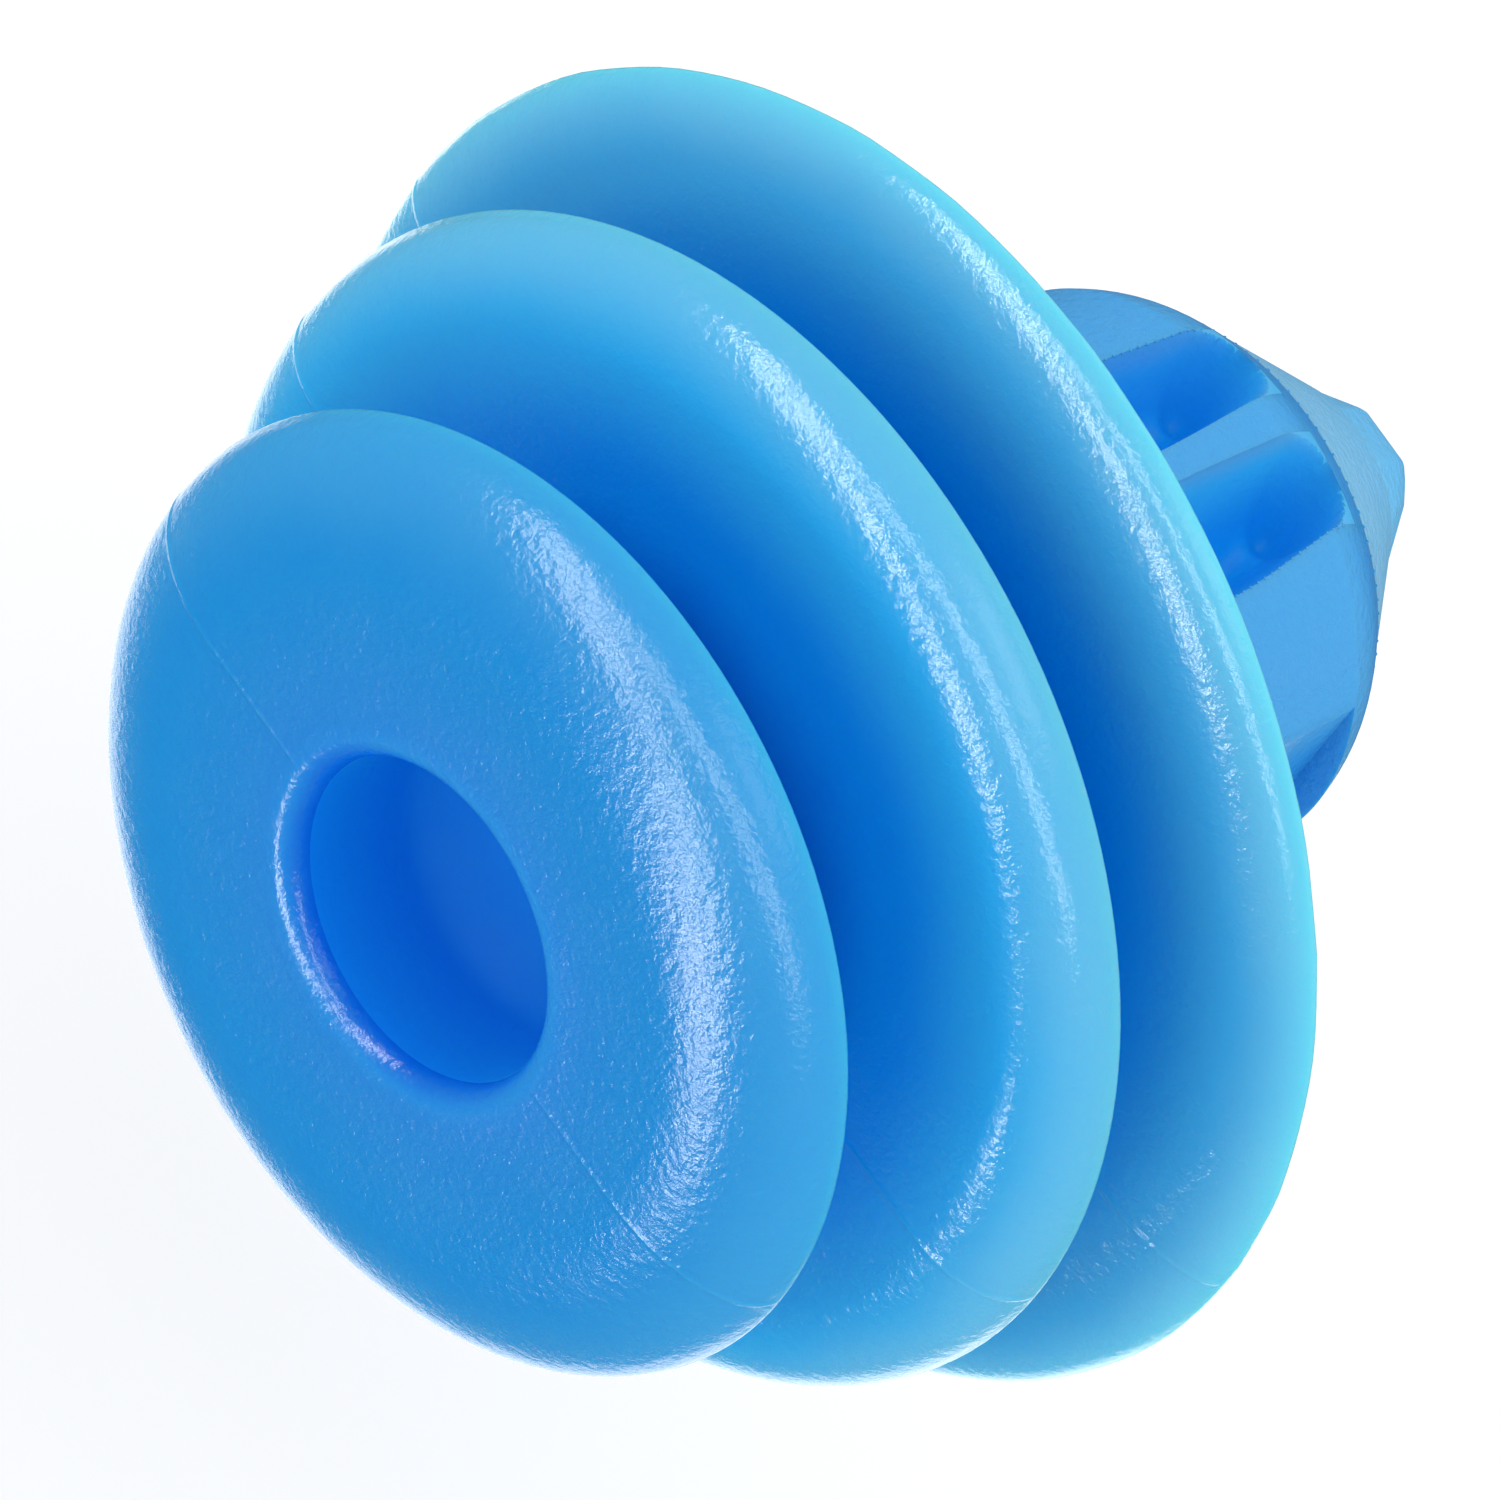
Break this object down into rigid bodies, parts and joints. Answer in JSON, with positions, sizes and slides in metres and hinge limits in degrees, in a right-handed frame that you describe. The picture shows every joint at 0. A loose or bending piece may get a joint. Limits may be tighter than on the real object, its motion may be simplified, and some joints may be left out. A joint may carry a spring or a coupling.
{
  "type": "push-in trim panel clip",
  "caption": "One-piece plastic push-in clip: cored head disc, trumpet flange and flexible seal skirt on one neck, and a snap barrel with pockets, barbs, cone and pilot tip.",
  "frame": {"origin": "centre of the plane where the seal skirt's rim meets the door metal", "axes": "+Y along the clip's own axis from the head to the pilot tip; the mould opens along Z, and the snap barbs stand out along X"},
  "size_m": [0.0234, 0.0225, 0.0234],
  "materials": {
    "clear_blue": "translucent mid blue moulded plastic with a fine orange-peel grain",
    "deep_blue": "the same plastic where it is thick, so it reads as a deeper blue",
    "teal_blue": "the same plastic where it is thin, so it reads lighter and greener"
  },
  "bodies": {
    "moulding": {"head_disc": "clear_blue", "head_neck": "deep_blue", "middle_flare": "deep_blue", "middle_flange": "clear_blue", "rear_neck": "deep_blue", "barrel_root": "clear_blue", "barrel_web": "deep_blue", "upper_centre_rib": "clear_blue", "lower_centre_rib": "clear_blue", "nose_shoulder": "clear_blue", "lead_in_cone": "clear_blue", "pilot_tip": "clear_blue"},
    "skirt": {"skirt_flare": "deep_blue", "seal_skirt": "teal_blue"},
    "left_wall": {"left_snap_wall": "clear_blue", "left_lock_barb": "clear_blue"},
    "right_wall": {"right_snap_wall": "clear_blue", "right_lock_barb": "clear_blue"}
  },
  "joints": [
    {"name": "skirt_flex", "type": "slide", "parent": "moulding", "child": "skirt", "axis": [0, -1, 0], "range_m": [0, 0.0008], "stiffness_N_per_m": 600},
    {"name": "left_wall_flex", "type": "slide", "parent": "moulding", "child": "left_wall", "axis": [1, 0, 0], "range_m": [0, 0.0004], "stiffness_N_per_m": 600},
    {"name": "right_wall_flex", "type": "slide", "parent": "moulding", "child": "right_wall", "axis": [-1, 0, 0], "range_m": [0, 0.0004], "stiffness_N_per_m": 600}
  ]
}
